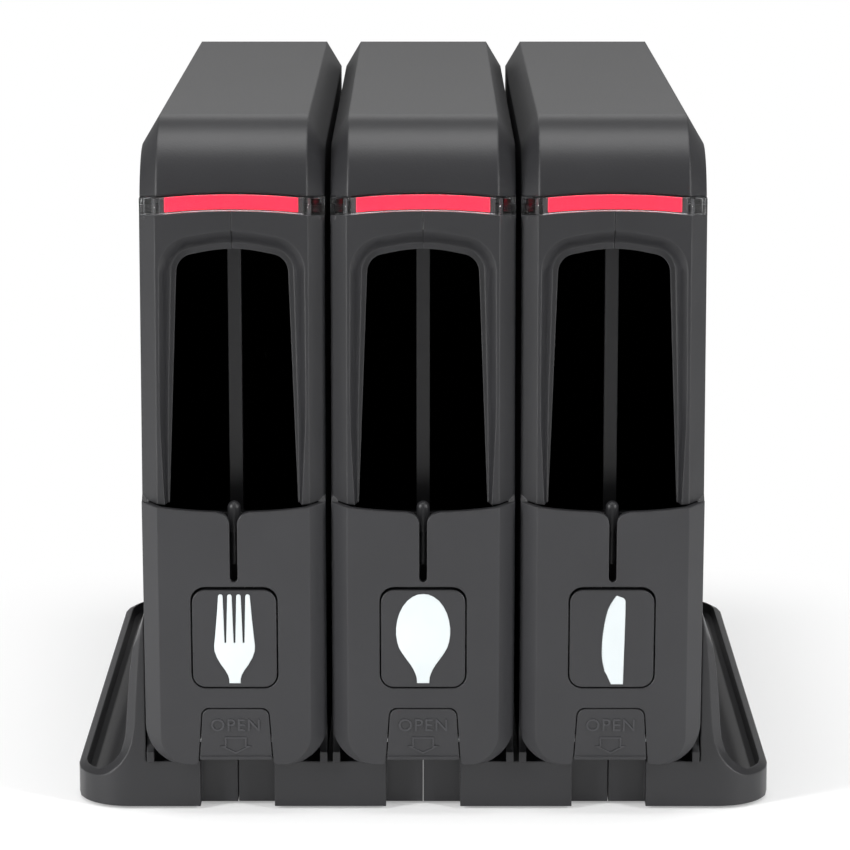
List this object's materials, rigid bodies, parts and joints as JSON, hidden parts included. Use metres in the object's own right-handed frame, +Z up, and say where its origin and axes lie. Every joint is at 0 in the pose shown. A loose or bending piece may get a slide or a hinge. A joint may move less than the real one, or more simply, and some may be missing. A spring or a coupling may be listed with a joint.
{
  "type": "cutlery dispenser",
  "caption": "Free-standing counter cutlery dispenser: slim front-loading towers with press plates, tall windows and hinged lower doors on a low base with end wings.",
  "frame": {"origin": "on the floor, under the middle of the outline seen from above", "axes": "+X to the right of a person who faces the object, +Y to the back, +Z up"},
  "size_m": [0.2292, 0.2651, 0.2269],
  "materials": {
    "casing": "fine textured charcoal",
    "clear": "clear polished",
    "red": "bright red",
    "icon": "pale grey inlay",
    "steel": "plain",
    "weight": "black paint",
    "rubber": "matt"
  },
  "bodies": {
    "cabinet": {"fork_left_shell": "casing", "fork_right_shell": "casing", "fork_hood": "casing", "fork_lens": "clear", "fork_marker_strip": "red", "fork_guide_rail": "casing", "fork_chute": "casing", "fork_shell_screws": "steel", "fork_door_pin": "steel", "spoon_left_shell": "casing", "spoon_right_shell": "casing", "spoon_hood": "casing", "spoon_lens": "clear", "spoon_marker_strip": "red", "spoon_guide_rail": "casing", "spoon_chute": "casing", "spoon_shell_screws": "steel", "spoon_door_pin": "steel", "knife_left_shell": "casing", "knife_right_shell": "casing", "knife_hood": "casing", "knife_lens": "clear", "knife_marker_strip": "red", "knife_guide_rail": "casing", "knife_chute": "casing", "knife_shell_screws": "steel", "knife_door_pin": "steel", "left_end_base": "casing", "left_centre_base": "casing", "right_centre_base": "casing", "right_end_base": "casing", "tie_plates": "steel", "tie_screws": "steel", "tower_screws": "steel", "rubber_feet": "rubber"},
    "fork_door_body": {"fork_door": "casing", "fork_latch_spring": "steel", "fork_button_spring": "steel"},
    "fork_latch_body": {"fork_latch": "casing"},
    "fork_button_body": {"fork_button": "casing", "fork_icon": "icon"},
    "fork_rocker_body": {"fork_rocker": "casing"},
    "fork_follower_body": {"fork_follower": "weight"},
    "spoon_door_body": {"spoon_door": "casing", "spoon_latch_spring": "steel", "spoon_button_spring": "steel"},
    "spoon_latch_body": {"spoon_latch": "casing"},
    "spoon_button_body": {"spoon_button": "casing", "spoon_icon": "icon"},
    "spoon_rocker_body": {"spoon_rocker": "casing"},
    "spoon_follower_body": {"spoon_follower": "weight"},
    "knife_door_body": {"knife_door": "casing", "knife_latch_spring": "steel", "knife_button_spring": "steel"},
    "knife_latch_body": {"knife_latch": "casing"},
    "knife_button_body": {"knife_button": "casing", "knife_icon": "icon"},
    "knife_rocker_body": {"knife_rocker": "casing"},
    "knife_follower_body": {"knife_follower": "weight"}
  },
  "joints": [
    {"name": "fork_door_swing", "type": "hinge", "parent": "cabinet", "child": "fork_door_body", "pos_m": [-0.061, -0.12525, 0.02556], "axis": [1, 0, 0], "range_deg": [0, 75]},
    {"name": "fork_latch_slide", "type": "slide", "parent": "fork_door_body", "child": "fork_latch_body", "axis": [0, 0.0471, -0.9989], "range_m": [0, 0.0035], "stiffness_N_per_m": 300, "springref_m": -0.003, "deforming": ["fork_latch_spring"]},
    {"name": "fork_button_press", "type": "slide", "parent": "fork_door_body", "child": "fork_button_body", "axis": [0, 0.9989, 0.0471], "range_m": [0, 0.004], "stiffness_N_per_m": 400, "springref_m": -0.003, "deforming": ["fork_button_spring"]},
    {"name": "fork_feed_turn", "type": "hinge", "parent": "cabinet", "child": "fork_rocker_body", "pos_m": [-0.061, -0.107, 0.0524], "axis": [1, 0, 0], "range_deg": [-30.5, 0]},
    {"name": "fork_follower_slide", "type": "slide", "parent": "cabinet", "child": "fork_follower_body", "axis": [0, 0, 1], "range_m": [0, 0.112]},
    {"name": "spoon_door_swing", "type": "hinge", "parent": "cabinet", "child": "spoon_door_body", "pos_m": [0, -0.12525, 0.02556], "axis": [1, 0, 0], "range_deg": [0, 75]},
    {"name": "spoon_latch_slide", "type": "slide", "parent": "spoon_door_body", "child": "spoon_latch_body", "axis": [0, 0.0471, -0.9989], "range_m": [0, 0.0035], "stiffness_N_per_m": 300, "springref_m": -0.003, "deforming": ["spoon_latch_spring"]},
    {"name": "spoon_button_press", "type": "slide", "parent": "spoon_door_body", "child": "spoon_button_body", "axis": [0, 0.9989, 0.0471], "range_m": [0, 0.004], "stiffness_N_per_m": 400, "springref_m": -0.003, "deforming": ["spoon_button_spring"]},
    {"name": "spoon_feed_turn", "type": "hinge", "parent": "cabinet", "child": "spoon_rocker_body", "pos_m": [0, -0.107, 0.0524], "axis": [1, 0, 0], "range_deg": [-30.5, 0]},
    {"name": "spoon_follower_slide", "type": "slide", "parent": "cabinet", "child": "spoon_follower_body", "axis": [0, 0, 1], "range_m": [0, 0.112]},
    {"name": "knife_door_swing", "type": "hinge", "parent": "cabinet", "child": "knife_door_body", "pos_m": [0.061, -0.12525, 0.02556], "axis": [1, 0, 0], "range_deg": [0, 75]},
    {"name": "knife_latch_slide", "type": "slide", "parent": "knife_door_body", "child": "knife_latch_body", "axis": [0, 0.0471, -0.9989], "range_m": [0, 0.0035], "stiffness_N_per_m": 300, "springref_m": -0.003, "deforming": ["knife_latch_spring"]},
    {"name": "knife_button_press", "type": "slide", "parent": "knife_door_body", "child": "knife_button_body", "axis": [0, 0.9989, 0.0471], "range_m": [0, 0.004], "stiffness_N_per_m": 400, "springref_m": -0.003, "deforming": ["knife_button_spring"]},
    {"name": "knife_feed_turn", "type": "hinge", "parent": "cabinet", "child": "knife_rocker_body", "pos_m": [0.061, -0.107, 0.0524], "axis": [1, 0, 0], "range_deg": [-30.5, 0]},
    {"name": "knife_follower_slide", "type": "slide", "parent": "cabinet", "child": "knife_follower_body", "axis": [0, 0, 1], "range_m": [0, 0.112]}
  ],
  "couplings": [
    {"joint": "fork_feed_turn", "follows": "fork_button_press", "rad_per_m": -130.9},
    {"joint": "spoon_feed_turn", "follows": "spoon_button_press", "rad_per_m": -130.9},
    {"joint": "knife_feed_turn", "follows": "knife_button_press", "rad_per_m": -130.9}
  ]
}
